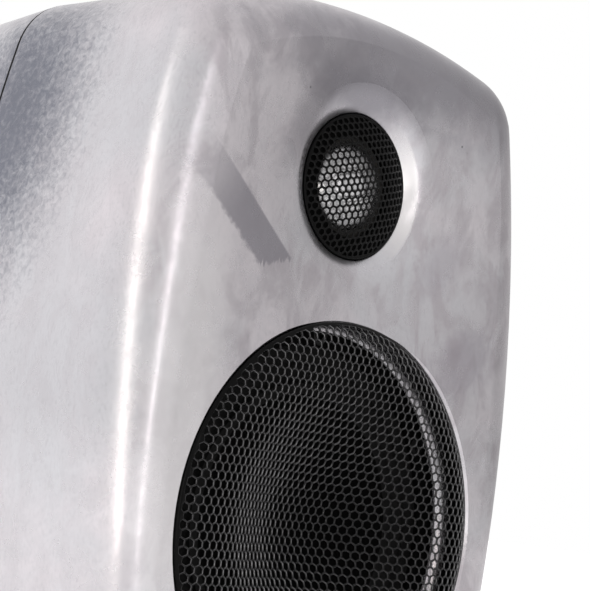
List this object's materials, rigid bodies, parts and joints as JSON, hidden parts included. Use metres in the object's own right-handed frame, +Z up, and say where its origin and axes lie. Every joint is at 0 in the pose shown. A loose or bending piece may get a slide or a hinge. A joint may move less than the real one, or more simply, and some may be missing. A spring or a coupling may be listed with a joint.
{
  "type": "studio monitor",
  "caption": "Active studio monitor loudspeaker in a rounded cast-metal cabinet, with a domed tweeter in a shallow waveguide, a woofer behind a perforated bowl grille and a rear panel.",
  "frame": {"origin": "middle of the footprint, on the table plane under the feet", "axes": "+Z up, -Y out of the front with the drivers, +X to the right of someone who faces the front"},
  "size_m": [0.189, 0.1808, 0.293],
  "materials": {
    "cast_aluminium": "raw die-cast, fine blasted, mottled",
    "black_grille_steel": "satin black coating on perforated sheet",
    "panel_steel": "fine black powder coat",
    "black_plastic": "moulded, fine grain",
    "gloss_black_plastic": "moulded, smooth",
    "white_plastic": "moulded",
    "black_rubber": "matt",
    "screw_steel": "black oxide",
    "zinc_steel": "zinc plated",
    "basket_metal": "black coated die casting",
    "ferrite": "sintered, dull dark grey",
    "copper": "enamelled copper wire",
    "dome_metal": "drawn, bright",
    "cone_plastic": "mineral filled, matt",
    "spider_cloth": "resin-dipped cloth",
    "grey_foam": "open-cell damping foam",
    "contact_metal": "plated contact metal",
    "circuit_board": "green solder mask",
    "lamp_lens": "clear light pipe"
  },
  "bodies": {
    "cabinet": {"front_shell": "cast_aluminium", "rear_shell": "cast_aluminium", "shell_gasket": "black_rubber", "shell_screws": "screw_steel", "rubber_feet": "black_rubber", "power_lamp": "lamp_lens", "damping_foam": "grey_foam", "woofer_grille": "black_grille_steel", "woofer_basket": "basket_metal", "woofer_gasket": "black_rubber", "woofer_screws": "screw_steel", "woofer_surround": "black_rubber", "woofer_spider": "spider_cloth", "woofer_top_plate": "zinc_steel", "woofer_magnet": "ferrite", "woofer_yoke": "zinc_steel", "tweeter_grille": "black_grille_steel", "tweeter_chassis": "black_plastic", "tweeter_screws": "screw_steel", "tweeter_suspension": "spider_cloth", "tweeter_pole_plate": "zinc_steel", "tweeter_magnet": "ferrite", "tweeter_cup": "zinc_steel", "reflex_port": "black_plastic", "connector_panel": "panel_steel", "panel_gasket": "black_rubber", "panel_screws": "screw_steel", "audio_input_socket": "black_plastic", "audio_output_socket": "black_plastic", "output_pins": "contact_metal", "mains_inlet": "black_plastic", "mains_pins": "contact_metal", "power_switch_frame": "black_plastic", "level_control": "zinc_steel", "tone_switch_block": "black_plastic", "amplifier_board": "circuit_board", "transformer_core": "ferrite", "filter_capacitors": "gloss_black_plastic", "heat_spreader": "dome_metal"},
    "woofer_diaphragm": {"woofer_cone": "cone_plastic", "woofer_dust_cap": "cone_plastic", "woofer_voice_coil": "copper"},
    "tweeter_diaphragm": {"tweeter_dome": "dome_metal", "tweeter_voice_coil": "copper"},
    "level_knob": {"level_knob": "black_plastic", "level_spindle": "zinc_steel"},
    "power_rocker": {"power_rocker": "gloss_black_plastic"},
    "tone_lever_1": {"tone_lever_1": "white_plastic"},
    "tone_lever_2": {"tone_lever_2": "white_plastic"},
    "tone_lever_3": {"tone_lever_3": "white_plastic"},
    "tone_lever_4": {"tone_lever_4": "white_plastic"}
  },
  "joints": [
    {"name": "woofer_travel", "type": "slide", "parent": "cabinet", "child": "woofer_diaphragm", "axis": [0, -1, 0], "range_m": [-0.003, 0.003], "stiffness_N_per_m": 1200, "deforming": ["woofer_surround", "woofer_spider"]},
    {"name": "tweeter_travel", "type": "slide", "parent": "cabinet", "child": "tweeter_diaphragm", "axis": [0, -1, 0], "range_m": [-0.0004, 0.0004], "stiffness_N_per_m": 2000, "deforming": ["tweeter_suspension"]},
    {"name": "level_turn", "type": "hinge", "parent": "cabinet", "child": "level_knob", "pos_m": [-0.03, 0.0794, 0.108], "axis": [0, -1, 0], "range_deg": [-150, 150]},
    {"name": "power_rock", "type": "hinge", "parent": "cabinet", "child": "power_rocker", "pos_m": [0.03, 0.0744, 0.108], "axis": [-1, 0, 0], "range_deg": [0, 16]},
    {"name": "tone_slide_1", "type": "slide", "parent": "cabinet", "child": "tone_lever_1", "axis": [0, 0, 1], "range_m": [0, 0.0026]},
    {"name": "tone_slide_2", "type": "slide", "parent": "cabinet", "child": "tone_lever_2", "axis": [0, 0, 1], "range_m": [0, 0.0026]},
    {"name": "tone_slide_3", "type": "slide", "parent": "cabinet", "child": "tone_lever_3", "axis": [0, 0, 1], "range_m": [0, 0.0026]},
    {"name": "tone_slide_4", "type": "slide", "parent": "cabinet", "child": "tone_lever_4", "axis": [0, 0, 1], "range_m": [0, 0.0026]}
  ]
}
